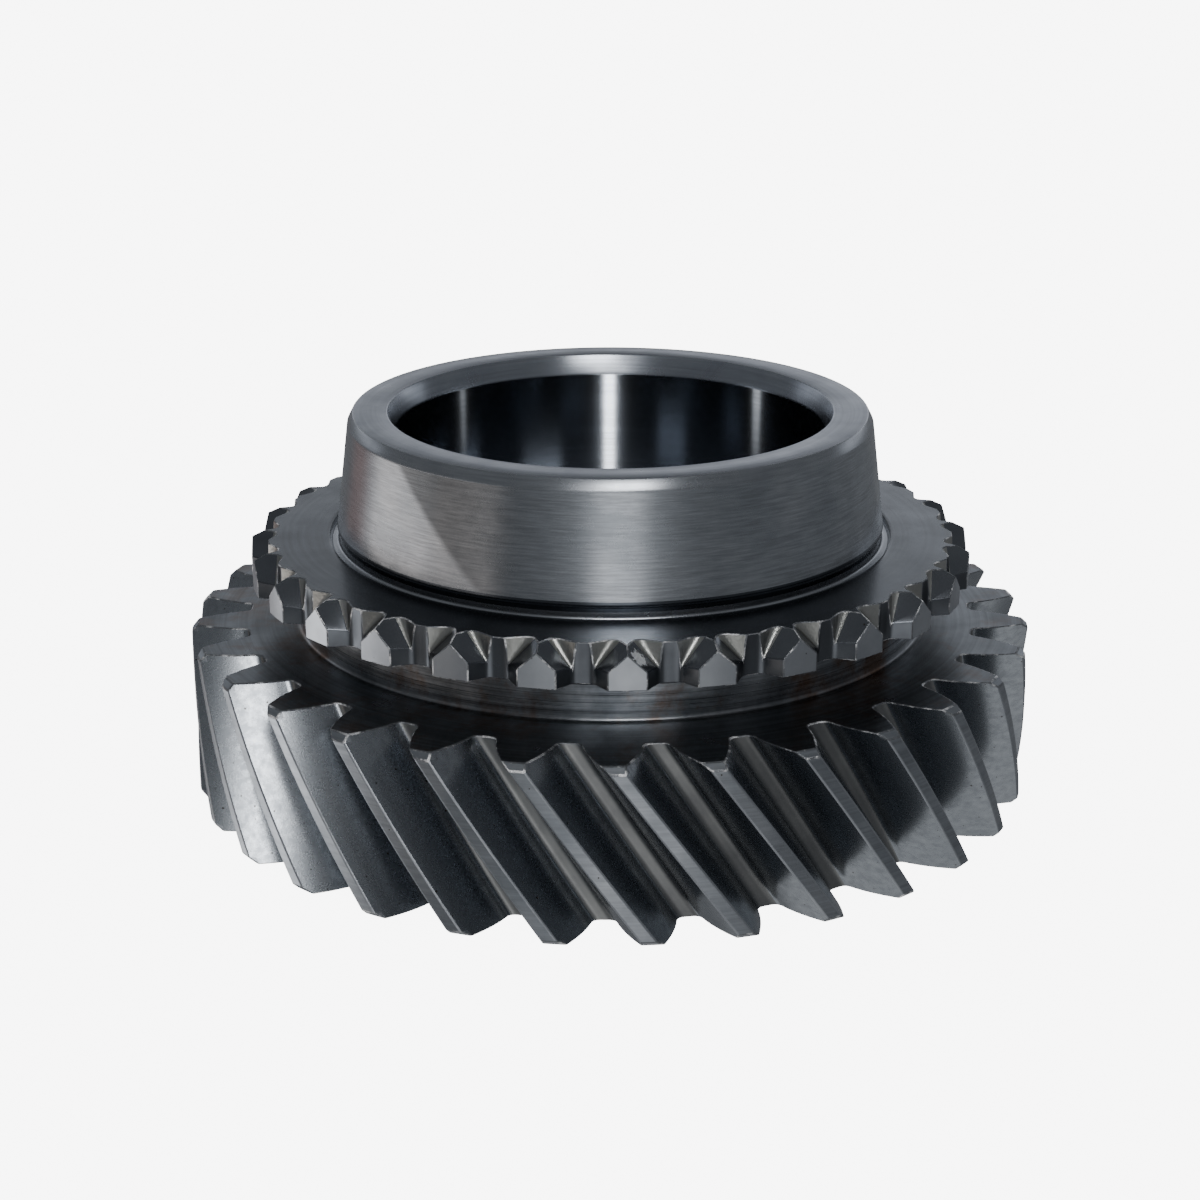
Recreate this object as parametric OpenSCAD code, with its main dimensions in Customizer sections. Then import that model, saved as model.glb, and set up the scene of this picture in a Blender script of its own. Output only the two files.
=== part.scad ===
// Synchronised speed gear for a manual gearbox: one steel forging with a helical gear at the
// bottom, a ring of pointed dog teeth above it and a tapered synchroniser cone at the top.
// Millimetres, +Z along the bore axis, origin on the axis in the bottom face.

/* [Gear teeth] */
// Number of helical teeth
gear_teeth = 30; // [24:1:36]
// Size of the teeth measured square to the helix (normal module)
normal_module = 2.25; // [2:0.05:2.5]
// Helix angle at the pitch circle, left hand
helix_angle = 34.1; // [20:0.1:36]
// Pressure angle measured square to the helix
pressure_angle = 20; // [17.5:0.5:22.5]
// Height of the tooth above the pitch circle, in modules
addendum_ratio = 1.218; // [1:0.001:1.25]
// Depth of the tooth below the pitch circle, in modules
dedendum_ratio = 1.38; // [1.2:0.01:1.42]
// Rounding between flank and root
root_round = 0.6; // [0.3:0.05:0.8]
// Thinning of each tooth for running clearance, on the pitch circle
flank_clearance = 0.08; // [0:0.01:0.2]
// Length of the toothed body along the axis
gear_width = 17.8; // [14:0.1:22]
// Height of the chamfer at both ends of the tooth tips
tip_chamfer_height = 0.6; // [0.3:0.05:1.2]
// Depth of the same chamfer, inward from the tips
tip_chamfer_depth = 0.65; // [0.3:0.05:1.2]
// Turn of the gear teeth about the axis at the bottom face
gear_phase = -0.9; // [-6:0.1:6]

/* [Dog teeth] */
// Number of pointed dog teeth
dog_teeth = 28; // [24:1:32]
// Diameter over the dog teeth
dog_outer_d = 74.2; // [72:0.1:76]
// Diameter at the root of the dog gaps
dog_root_d = 70.6; // [69.5:0.1:71.5]
// Width of a dog tooth at its outer face
dog_width = 3.55; // [2.8:0.05:4]
// Slant of the sides of a dog tooth, which widens towards its root
dog_flank_angle = 33; // [0:1:36]
// Rounding between the side of a dog tooth and the gap root
dog_root_round = 1.0; // [0.2:0.05:1.1]
// Height of the underside of the dog ring above the bottom face
dog_underside = 22.65; // [21:0.05:23.5]
// Thickness of the dog ring along the axis
dog_ring_height = 4.05; // [3.8:0.05:4.5]
// Drop from the ring top to the point of a dog tooth at its outer face
dog_point_drop = 0.6; // [0.4:0.05:1.2]
// Slope of each roof face across the tooth
dog_roof_angle = 42.8; // [38:0.1:48]
// Slope of the roof ridge, rising towards the axis
dog_ridge_angle = 25.6; // [20:0.1:30]
// Distance from the axis at which a roof ends on the ring top
dog_wall_radius = 34.1; // [33.8:0.05:34.4]
// Half the width of the ring top left standing between two roofs there
dog_wall_half_width = 0.78; // [0.6:0.01:0.95]
// Turn of the wall behind a roof, away from square to the tooth
dog_wall_turn = 22.5; // [18:0.5:26]
// Lean of the same wall, backwards from upright
dog_wall_lean = 7; // [3:0.5:10]
// Turn of the dog teeth about the axis
dog_phase = 2.24; // [-6:0.01:6]

/* [Neck] */
// Diameter of the neck between gear and dog ring
neck_d = 64.6; // [62:0.1:66]
// Rounding where the neck meets the gear face
neck_round = 0.5; // [0.2:0.05:0.8]
// Depth of the relief under the dog ring, inward from the neck
neck_relief_depth = 0.35; // [0.1:0.05:0.6]
// Height of the same relief
neck_relief_height = 1.2; // [0.6:0.1:1.8]

/* [Synchroniser cone] */
// Diameter of the cone at its wide lower edge
cone_base_d = 56.4; // [55:0.1:58]
// Angle between the cone surface and the axis
cone_angle = 7; // [5.5:0.1:8]
// Height of the cone's lower edge above the bottom face
cone_base_height = 27.6; // [27.2:0.1:28]
// Height of the chamfer at the top of the cone
cone_chamfer_height = 1.05; // [0.4:0.05:1.5]
// Depth of the same chamfer, inward
cone_chamfer_depth = 0.55; // [0.2:0.05:0.8]
// Depth of the grinding groove under the cone, inward from its lower edge
groove_depth = 0.9; // [0.5:0.05:1.2]
// Depth of the same groove below the top of the dog ring
groove_drop = 0.25; // [0.1:0.05:0.5]

/* [Bore] */
// Diameter of the ground bore that runs on the needle bearing
bore_d = 44; // [43:0.1:44.6]
// Diameter of the lead-in at the top face
bore_lead_d = 45.5; // [45:0.1:46.2]
// Length of the lead-in along the axis
bore_lead_height = 2; // [1:0.1:3]
// Chamfer at the lower end of the bore
bore_foot_chamfer = 0.8; // [0.4:0.1:1.2]

/* [Whole part] */
// Height over everything
total_height = 39.5; // [38:0.1:41]
// Inner diameter of the shallow relief turned in the bottom face
relief_inner_d = 55; // [53:0.5:57]
// Outer diameter of the same relief
relief_outer_d = 69; // [66:0.5:71]
// Depth of that relief
relief_depth = 1.2; // [0.5:0.1:2]

/* [Hidden] */
$fn = 96;
joint = 0.6;

bore_r = bore_d / 2;
bore_lead_r = bore_lead_d / 2;
neck_r = neck_d / 2;
cone_base_r = cone_base_d / 2;
dog_outer_r = dog_outer_d / 2;
dog_root_r = dog_root_d / 2;
dog_root_steps = 5;

transverse_module = normal_module / cos(helix_angle);
pitch_r = gear_teeth * transverse_module / 2;
transverse_pressure = atan(tan(pressure_angle) / cos(helix_angle));
base_r = pitch_r * cos(transverse_pressure);
tip_r = pitch_r + addendum_ratio * normal_module;
root_r = pitch_r - dedendum_ratio * normal_module;
twist_per_mm = 180 * tan(helix_angle) / (PI * pitch_r);
half_pitch_angle = 180 / gear_teeth;
tooth_half_angle = 90 / gear_teeth - 90 * flank_clearance / (PI * pitch_r);

cone_top_height = total_height - cone_chamfer_height;
cone_top_r = cone_base_r - (cone_top_height - cone_base_height) * tan(cone_angle);
rim_r = cone_top_r - cone_chamfer_depth;
dog_top = dog_underside + dog_ring_height;
dog_point = dog_top - dog_point_drop;
groove_r = cone_base_r - groove_depth;
groove_height = cone_base_height - dog_top;
groove_edge = 0.15 * groove_depth;

// Involute function of an angle, as an angle in degrees
function involute(angle) = tan(angle) * 180 / PI - angle;

// Half angle of a gear tooth at a radius
function tooth_angle(radius) =
    tooth_half_angle + involute(transverse_pressure) - involute(acos(min(1, base_r / radius)));

// Half angle of the space between two gear teeth at a radius
function space_angle(radius) = half_pitch_angle - tooth_angle(radius);

// Point at a radius and an angle
function polar(radius, angle) = [radius * cos(angle), radius * sin(angle)];

// One side of the tooth space, from outside the tip down to the root
space_side = [
    polar(tip_r + joint, space_angle(tip_r + joint)),
    polar(tip_r - 0.22 * (tip_r - root_r), space_angle(tip_r - 0.22 * (tip_r - root_r))),
    polar(tip_r - 0.5 * (tip_r - root_r), space_angle(tip_r - 0.5 * (tip_r - root_r))),
    polar(tip_r - 0.72 * (tip_r - root_r), space_angle(tip_r - 0.72 * (tip_r - root_r))),
    polar(root_r + root_round, space_angle(root_r + root_round)),
    polar(root_r + 0.27 * root_round, space_angle(root_r) - 20 * root_round / root_r),
    polar(root_r, space_angle(root_r) - 57.3 * root_round / root_r)
];
side_points = len(space_side);

// Space between two gear teeth, wound along the helix
module tooth_space() {
    over = joint;
    outline = concat(
        space_side,
        [for (i = [side_points - 1 : -1 : 0]) [space_side[i][0], -space_side[i][1]]]
    );
    translate([0, 0, -over])
        rotate([0, 0, twist_per_mm * over])
            linear_extrude(height = gear_width + 2 * over, twist = twist_per_mm * (gear_width + 2 * over), slices = 6, $fn = 8)
                polygon(outline);
}

// Section of the whole turned blank, one side of the axis
module blank_section() {
    polygon([
        [bore_r + bore_foot_chamfer, 0],
        [relief_inner_d / 2, 0],
        [relief_inner_d / 2 + relief_depth / 2, relief_depth],
        [relief_outer_d / 2 - relief_depth / 2, relief_depth],
        [relief_outer_d / 2, 0],
        [tip_r - tip_chamfer_depth, 0],
        [tip_r, tip_chamfer_height],
        [tip_r, gear_width - tip_chamfer_height],
        [tip_r - tip_chamfer_depth, gear_width],
        [neck_r + neck_round, gear_width],
        [neck_r + 0.29 * neck_round, gear_width + 0.29 * neck_round],
        [neck_r, gear_width + neck_round],
        [neck_r, dog_underside - neck_relief_height],
        [neck_r - neck_relief_depth, dog_underside - neck_relief_height + neck_relief_depth],
        [neck_r - neck_relief_depth, dog_underside],
        [dog_outer_r, dog_underside],
        [dog_outer_r, dog_top],
        [cone_base_r + groove_edge, dog_top],
        [cone_base_r - 2 * groove_edge, dog_top - groove_drop],
        [groove_r + groove_edge, dog_top - 0.6 * groove_drop],
        [groove_r, dog_top + 0.25 * groove_height],
        [groove_r, dog_top + 0.65 * groove_height],
        [cone_base_r - groove_edge, cone_base_height],
        [cone_base_r, cone_base_height + groove_edge],
        [cone_top_r, cone_top_height],
        [rim_r, total_height],
        [bore_lead_r, total_height],
        [bore_r, total_height - bore_lead_height],
        [bore_r, bore_foot_chamfer]
    ]);
}

// Outline of one side of the space between two dog teeth, from outside down to the root
function dog_gap_side() =
    let (
        half = 180 / dog_teeth,
        along = [sin(half), cos(half)],
        into = [-cos(half), sin(half)],
        inward = sin(dog_flank_angle) * into - cos(dog_flank_angle) * along,
        square = cos(dog_flank_angle) * into + sin(dog_flank_angle) * along,
        edge = dog_outer_r * along + dog_width / 2 * into,
        away = edge + dog_root_round * square,
        run = away * inward,
        travel = -run - sqrt(run * run - away * away + pow(dog_root_r + dog_root_round, 2)),
        centre = away + travel * inward,
        start = atan2(-square[1], -square[0]),
        finish = atan2(-centre[1], -centre[0])
    )
    concat(
        [edge - joint * inward],
        [
            for (i = [0 : dog_root_steps])
                centre + polar(dog_root_round, start + (finish - start) * i / dog_root_steps)
        ]
    );

// Space between two dog teeth, rounded at its root
module dog_gap() {
    side = dog_gap_side();
    count = len(side);
    outline = concat(side, [for (i = [count - 1 : -1 : 0]) [-side[i][0], side[i][1]]]);
    translate([0, 0, dog_underside - joint])
        linear_extrude(height = dog_ring_height + 2 * joint)
            polygon(outline);
}

// Everything above one roof face, in front of the wall behind it and on its own side of the gap
module roof_cut(hand) {
    ridge_tilt = atan(tan(dog_ridge_angle) * cos(dog_roof_angle));
    size = 8;
    mirror([hand, 0, 0])
        intersection() {
            translate([0, dog_outer_r, dog_point])
                rotate([-ridge_tilt, dog_roof_angle, 0])
                    translate([-size / 4, -0.7 * size, 0])
                        cube([1.2 * size, size, size / 2]);
            translate([dog_wall_half_width, dog_wall_radius, dog_top])
                rotate([0, 0, dog_wall_turn])
                    rotate([dog_wall_lean, 0, 0])
                        translate([-size / 2, 0, -size / 2])
                            cube([size, size, size]);
            rotate([0, 0, -180 / dog_teeth])
                translate([-size, dog_root_r - size / 2, dog_underside])
                    cube([size, size, size]);
        }
}

module gear() {
    color([0.36, 0.38, 0.41])
        difference() {
            rotate_extrude()
                blank_section();
            for (i = [0 : gear_teeth - 1])
                rotate([0, 0, gear_phase + (i + 0.5) * 360 / gear_teeth])
                    tooth_space();
            for (i = [0 : dog_teeth - 1])
                rotate([0, 0, dog_phase - 90 + (i + 0.5) * 360 / dog_teeth])
                    dog_gap();
            for (i = [0 : dog_teeth - 1])
                rotate([0, 0, dog_phase - 90 + i * 360 / dog_teeth])
                    for (hand = [0, 1])
                        roof_cut(hand);
        }
}

gear();
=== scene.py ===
"""A synchronised speed gear from a manual gearbox: its mesh, its steel finishes and the studio.

The mesh is built in millimetres in the frame of the CAD part: +Z along the bore axis, origin on
the axis in the bottom face. It is scaled to metres when it is handed to Blender.
"""

import logging
import math
from dataclasses import dataclass
from enum import Enum, IntEnum

import bmesh
import bpy
from mathutils import Matrix, Vector
from mathutils.geometry import intersect_point_line


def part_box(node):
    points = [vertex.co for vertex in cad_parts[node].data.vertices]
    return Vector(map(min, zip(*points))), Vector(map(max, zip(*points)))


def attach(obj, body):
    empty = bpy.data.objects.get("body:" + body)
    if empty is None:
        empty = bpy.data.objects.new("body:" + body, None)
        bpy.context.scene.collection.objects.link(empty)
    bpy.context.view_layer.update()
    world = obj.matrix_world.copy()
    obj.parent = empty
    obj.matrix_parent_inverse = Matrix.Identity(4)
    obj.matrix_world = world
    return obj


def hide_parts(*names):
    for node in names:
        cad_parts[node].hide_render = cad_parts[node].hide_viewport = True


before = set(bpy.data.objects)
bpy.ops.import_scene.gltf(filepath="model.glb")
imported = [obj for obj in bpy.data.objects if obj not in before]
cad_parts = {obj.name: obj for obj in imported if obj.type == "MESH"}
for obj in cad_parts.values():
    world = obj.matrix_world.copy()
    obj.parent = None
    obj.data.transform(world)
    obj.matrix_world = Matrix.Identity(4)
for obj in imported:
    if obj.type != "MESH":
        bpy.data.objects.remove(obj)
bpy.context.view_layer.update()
LOG = logging.getLogger("speed_gear")

# Metres in a millimetre.
MM = 0.001
# Millimetres within which two points are one, and within which a face lies in the top plane.
MERGE, IN_TOP = 0.002, 0.01
# Degrees from which a corner is broken, a crease is rounded and an edge is shaded sharp.
CORNER, CREASE, SHARP = 24, 40, 30
# Strips across a broken corner and across a rounded crease.
CORNER_STRIPS, CREASE_STRIPS = 2, 3
# Radians within which two faces are one flat face, and degrees within which a point is in a gap plane.
FLAT, IN_GAP = 0.002, 0.01
# Least upward part of the normal of a level face, a roof and a leaning wall.
LEVEL_UP, ROOF_UP, WALL_UP = 0.98, 0.4, 0.05
# Least outward part of the normal of a tooth's outer face.
FACING_OUT = 0.95
# The part of its range that a noise mostly fills, and the narrow part that makes clear patches.
NOISE_RANGE, PATCH_RANGE = (0.3, 0.7), (0.5, 0.62)
# Rust pits: millimetres between them, greatest radius as a share of that, and colour.
PIT_SPACING, PIT_SIZE, PIT_COLOUR = 0.55, 0.24, "45403b"
# The chip, in millimetres: start and end of its soft edge, raggedness and size of the rags, and colour.
CHIP_REACH, CHIP_END, CHIP_RAGS, RAG_SIZE, CHIP_COLOUR = 1.9, 2.05, 2.4, 0.5, "f6f8fb"
# Its torn ground: size in millimetres, depth in line depths, and added roughness.
TEAR_SIZE, TEAR_DEPTH, TEAR_ROUGHNESS = 0.45, 110.0, 0.4
# Oil stains: size in millimetres, part of the noise that shows them, and colour.
STAIN_SIZE, STAIN_RANGE, STAIN_COLOUR = 7, (0.5, 0.66), "6b4a2a"
# Painted shade on the left of the cone, in degrees from the front, negative to the left. Given here: the
# height at which its slanting edge starts, the angle of that edge there, and its lean in degrees for each
# millimetre of height.
CONE_SHADE_FOOT, CONE_SHADE_START, CONE_SHADE_SLANT = 27.6, -27.0, 2.2
# Width of that edge, the angles between which the painted shade thins out, and the light that it takes away.
CONE_SHADE_EDGE, CONE_SHADE_FULL, CONE_SHADE_GONE, CONE_SHADE_DARK = 3, -38, -12, 0.62

Section = list[tuple[float, float]]


class Zone(IntEnum):
    """Surfaces of the gear, each with a finish of its own; the value is the material slot."""

    TIP = 0
    FLANK = 1
    ROOT = 2
    GEAR_FACE = 3
    NECK = 4
    DOG_FACE = 5
    DOG_ROOF = 6
    DOG_WALL = 7
    DOG_SIDE = 8
    RING_TOP = 9
    GROOVE = 10
    CONE = 11
    CONE_RIM = 12
    TOP_FACE = 13
    LEAD_IN = 14
    BORE = 15
    HUB_FACE = 16
    EDGE = 17
    TOOTH_EDGE = 18


def polar(radius: float, degrees: float, height: float = 0.0) -> Vector:
    """Gives the point at a radius, an angle from +X and a height."""
    turn = math.radians(degrees)
    return Vector((radius * math.cos(turn), radius * math.sin(turn), height))


def radius_of(point: Vector) -> float:
    """Gives the distance of a point from the bore axis."""
    return math.hypot(point.x, point.y)


def degrees_of(point: Vector) -> float:
    """Gives the angle of a point from +X, in degrees."""
    return math.degrees(math.atan2(point.y, point.x))


def chain(bm: bmesh.types.BMesh, points: list[Vector]) -> tuple[list, list]:
    """Adds a run of vertices joined by edges.

    Args:
        bm: Mesh that takes the run.
        points: Places of the vertices, in order.

    Returns:
        The new vertices and the new edges.
    """
    verts = [bm.verts.new(point) for point in points]
    edges = [bm.edges.new(pair) for pair in zip(verts, verts[1:])]
    return verts, edges


def turn_about_axis(bm: bmesh.types.BMesh, geometry: list, degrees: float, steps: int, **options) -> list:
    """Spins geometry about the bore axis.

    Args:
        bm: Mesh that holds the geometry.
        geometry: Vertices, edges or faces to spin.
        degrees: Whole turn of the spin.
        steps: Number of steps in that turn.
        options: More arguments of the spin operator.

    Returns:
        The geometry of the last step.
    """
    made = bmesh.ops.spin(
        bm,
        geom=geometry,
        cent=(0, 0, 0),
        axis=(0, 0, 1),
        angle=math.radians(degrees),
        steps=steps,
        **options,
    )
    return made["geom_last"]


def copy_round(bm: bmesh.types.BMesh, count: int) -> None:
    """Repeats the whole mesh round the axis and joins the copies.

    Args:
        bm: Mesh of one sector.
        count: Number of sectors in the full circle.
    """
    everything = bm.verts[:] + bm.edges[:] + bm.faces[:]
    turn = 360 * (count - 1) / count
    turn_about_axis(bm, everything, turn, count - 1, use_duplicate=True)
    bmesh.ops.remove_doubles(bm, verts=bm.verts, dist=MERGE)


def sharp_edges(bm: bmesh.types.BMesh, least: float, convex: bool = True) -> list:
    """Lists the edges between two faces that meet at more than an angle.

    Args:
        bm: Mesh to search.
        least: Smallest angle between the faces, in degrees.
        convex: True for outward edges and False for inward creases.

    Returns:
        The edges found.
    """
    bm.normal_update()
    return [
        edge
        for edge in bm.edges
        if edge.is_manifold
        and edge.is_convex == convex
        and edge.calc_face_angle(0.0) > math.radians(least)
    ]


def face_outward(bm: bmesh.types.BMesh, top: float) -> None:
    """Points every face outward, judged by the faces in the top plane.

    Args:
        bm: Mesh to turn.
        top: Height of the top plane.
    """
    bmesh.ops.recalc_face_normals(bm, faces=bm.faces)
    level = [face for face in bm.faces if face.calc_center_median().z > top - IN_TOP]
    if sum(face.normal.z * face.calc_area() for face in level) < 0:
        bmesh.ops.reverse_faces(bm, faces=bm.faces)


def soften(bm: bmesh.types.BMesh, edges: list, width: float, segments: int, zone: Zone) -> None:
    """Bevels edges and gives the new faces a zone.

    Args:
        bm: Mesh that holds the edges.
        edges: Edges to bevel.
        width: Width of the bevel on each side, in millimetres.
        segments: Number of strips across the bevel.
        zone: Zone of the new faces.
    """
    made = bmesh.ops.bevel(
        bm,
        geom=edges,
        offset=width,
        offset_type="OFFSET",
        segments=segments,
        profile=0.5,
        affect="EDGES",
        clamp_overlap=False,
        material=-1,
    )
    for face in made["faces"]:
        face.material_index = zone


def rounded(section: Section, radius: float, steps: int = 2) -> Section:
    """Rounds the inner corners of a section.

    Args:
        section: Points as radius and height.
        radius: Distance from each corner at which its rounding starts.
        steps: Number of pieces of each rounding.

    Returns:
        The section with each inner corner replaced by a short curve.
    """
    points = [Vector(point) for point in section]
    result = [points[0]]
    for before, corner, after in zip(points, points[1:], points[2:]):
        start = corner + (before - corner).normalized() * radius
        end = corner + (after - corner).normalized() * radius
        for i in range(steps + 1):
            share = i / steps
            result.append((1 - share) ** 2 * start + 2 * share * (1 - share) * corner + share**2 * end)
    result.append(points[-1])
    return [tuple(point) for point in result]


@dataclass
class GearTeeth:
    """The left-hand helical teeth with their two end faces, in millimetres and degrees."""

    count: int = 30
    normal_module: float = 2.25
    helix: float = 34.1
    pressure: float = 20.0
    addendum: float = 1.218
    dedendum: float = 1.38
    root_round: float = 0.7
    clearance: float = 0.08
    width: float = 17.8
    chamfer_height: float = 0.6
    chamfer_depth: float = 0.65
    phase: float = -0.9
    edge_break: float = 0.13
    worn_ends: float = 0.75
    rows: int = 14
    flank_rows: int = 7
    root_steps: int = 4
    face_steps: int = 12
    top_inner: float = 33.1
    bottom_inner: float = 34.8

    def __post_init__(self) -> None:
        """Works out the circles of the gear from its module and angles."""
        self.pitch_r = self.count * self.normal_module / math.cos(math.radians(self.helix)) / 2
        self.transverse = math.atan(
            math.tan(math.radians(self.pressure)) / math.cos(math.radians(self.helix))
        )
        self.base_r = self.pitch_r * math.cos(self.transverse)
        self.tip_r = self.pitch_r + self.addendum * self.normal_module
        self.root_r = self.pitch_r - self.dedendum * self.normal_module
        self.chamfer_r = self.tip_r - self.chamfer_depth
        self.twist = math.degrees(math.tan(math.radians(self.helix)) / self.pitch_r)
        self.half_pitch = 180 / self.count

    def half_angle(self, radius: float) -> float:
        """Gives half the angle that an involute tooth takes at a radius.

        Args:
            radius: Distance from the bore axis.

        Returns:
            The angle in degrees.
        """
        here = math.acos(min(1.0, self.base_r / radius))
        grown = math.tan(self.transverse) - self.transverse - math.tan(here) + here
        thinned = 90 * self.clearance / (math.pi * self.pitch_r)
        return 90 / self.count - thinned + math.degrees(grown)

    def half_outline(self) -> Section:
        """Gives one side of a tooth from the middle of the space up to the middle of the tip.

        Returns:
            Points as radius and angle from the middle of the tooth.
        """
        root_angle = self.half_angle(self.root_r)
        foot_angle = root_angle + math.degrees(self.root_round / self.root_r)
        crest_r = self.root_r + self.root_round
        crest_angle = self.half_angle(crest_r)
        points = [(self.root_r, self.half_pitch), (self.root_r, (self.half_pitch + foot_angle) / 2)]
        for i in range(self.root_steps + 1):
            share = i / self.root_steps
            weights = ((1 - share) ** 2, 2 * share * (1 - share), share**2)
            radius = weights[0] * self.root_r + weights[1] * self.root_r + weights[2] * crest_r
            angle = weights[0] * foot_angle + weights[1] * root_angle + weights[2] * crest_angle
            points.append((radius, angle))
        for i in range(1, self.flank_rows + 1):
            radius = crest_r + (self.chamfer_r - crest_r) * i / self.flank_rows
            points.append((radius, self.half_angle(radius)))
        tip_angle = self.half_angle(self.tip_r)
        points += [(self.tip_r, tip_angle), (self.tip_r, tip_angle / 2)]
        return points

    def outline(self) -> Section:
        """Gives one whole tooth from the middle of one space to the middle of the next."""
        half = self.half_outline()
        left = [(radius, -angle) for radius, angle in half]
        return left + [(self.tip_r, 0.0)] + half[::-1]

    def middle(self, height: float) -> float:
        """Gives the angle of the first tooth's middle at a height."""
        return self.phase - self.twist * height

    def wind(self, bm: bmesh.types.BMesh) -> None:
        """Winds the outline of one tooth up the helix, with a row at each chamfer.

        Args:
            bm: Empty mesh that takes the surface.
        """
        verts, edges = chain(bm, [polar(radius, self.phase + angle) for radius, angle in self.outline()])
        body = self.width - 2 * self.chamfer_height
        for rise, steps in ((self.chamfer_height, 1), (body, self.rows), (self.chamfer_height, 1)):
            last = turn_about_axis(
                bm, verts + edges, -self.twist * rise, steps, dvec=(0, 0, rise / steps)
            )
            verts = [item for item in last if isinstance(item, bmesh.types.BMVert)]
            edges = [item for item in last if isinstance(item, bmesh.types.BMEdge)]

    def chamfer_tips(self, bm: bmesh.types.BMesh) -> None:
        """Draws the tip in at both ends onto the chamfer circle.

        Args:
            bm: Mesh of one wound tooth.
        """
        shrink = self.half_angle(self.chamfer_r) / self.half_angle(self.tip_r)
        for vert in bm.verts:
            at_end = min(vert.co.z, self.width - vert.co.z) < MERGE
            if at_end and radius_of(vert.co) > self.chamfer_r + MERGE:
                middle = self.middle(vert.co.z)
                away = degrees_of(vert.co) - middle
                vert.co = polar(self.chamfer_r, middle + away * shrink, vert.co.z)
        bmesh.ops.remove_doubles(bm, verts=bm.verts, dist=MERGE)

    def dress_zones(self, bm: bmesh.types.BMesh) -> None:
        """Sets the zone of each wound face by its distance from the axis.

        Args:
            bm: Mesh of one wound and chamfered tooth.
        """
        for face in bm.faces:
            radii = [radius_of(vert.co) for vert in face.verts]
            if min(radii) > self.chamfer_r - MERGE and max(radii) - min(radii) < MERGE:
                face.material_index = Zone.TIP
            elif max(radii) < self.root_r + 0.5 * self.root_round:
                face.material_index = Zone.ROOT
            else:
                face.material_index = Zone.FLANK
            heights = [vert.co.z for vert in face.verts]
            at_end = min(heights) < MERGE or max(heights) > self.width - MERGE
            if at_end and min(radii) > self.chamfer_r - MERGE:
                face.material_index = Zone.TIP

    def close_end(self, bm: bmesh.types.BMesh, height: float, inner: float) -> None:
        """Fills the end face between one tooth and an inner circle.

        Args:
            bm: Mesh of one sector.
            height: Height of the face.
            inner: Radius of the circle.
        """
        middle = self.middle(height)
        steps = self.face_steps
        angles = [middle + self.half_pitch * (2 * i / steps - 1) for i in range(steps + 1)]
        ends = [polar(self.root_r, angles[0], height), polar(self.root_r, angles[-1], height)]
        arc = [polar(inner, angle, height) for angle in angles]
        chain(bm, [ends[0], *arc, ends[1]])
        bmesh.ops.remove_doubles(bm, verts=bm.verts, dist=MERGE)
        rim = [
            edge
            for edge in bm.edges
            if len(edge.link_faces) < 2 and all(abs(v.co.z - height) < MERGE for v in edge.verts)
        ]
        made = bmesh.ops.edgeloop_fill(bm, edges=rim)
        for face in made["faces"]:
            face.material_index = Zone.GEAR_FACE

    def build(self) -> bmesh.types.BMesh:
        """Builds all the teeth with their end faces.

        Returns:
            The mesh, open inside its two inner circles.
        """
        bm = bmesh.new()
        self.wind(bm)
        self.chamfer_tips(bm)
        self.dress_zones(bm)
        self.close_end(bm, 0.0, self.bottom_inner)
        self.close_end(bm, self.width, self.top_inner)
        face_outward(bm, self.width)
        soften(bm, sharp_edges(bm, CORNER), self.edge_break, CORNER_STRIPS, Zone.EDGE)
        for face in bm.faces:
            height = face.calc_center_median().z
            between = self.worn_ends < height < self.width - self.worn_ends
            if face.material_index == Zone.EDGE and between:
                face.material_index = Zone.TOOTH_EDGE
        copy_round(bm, self.count)
        return bm


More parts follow.
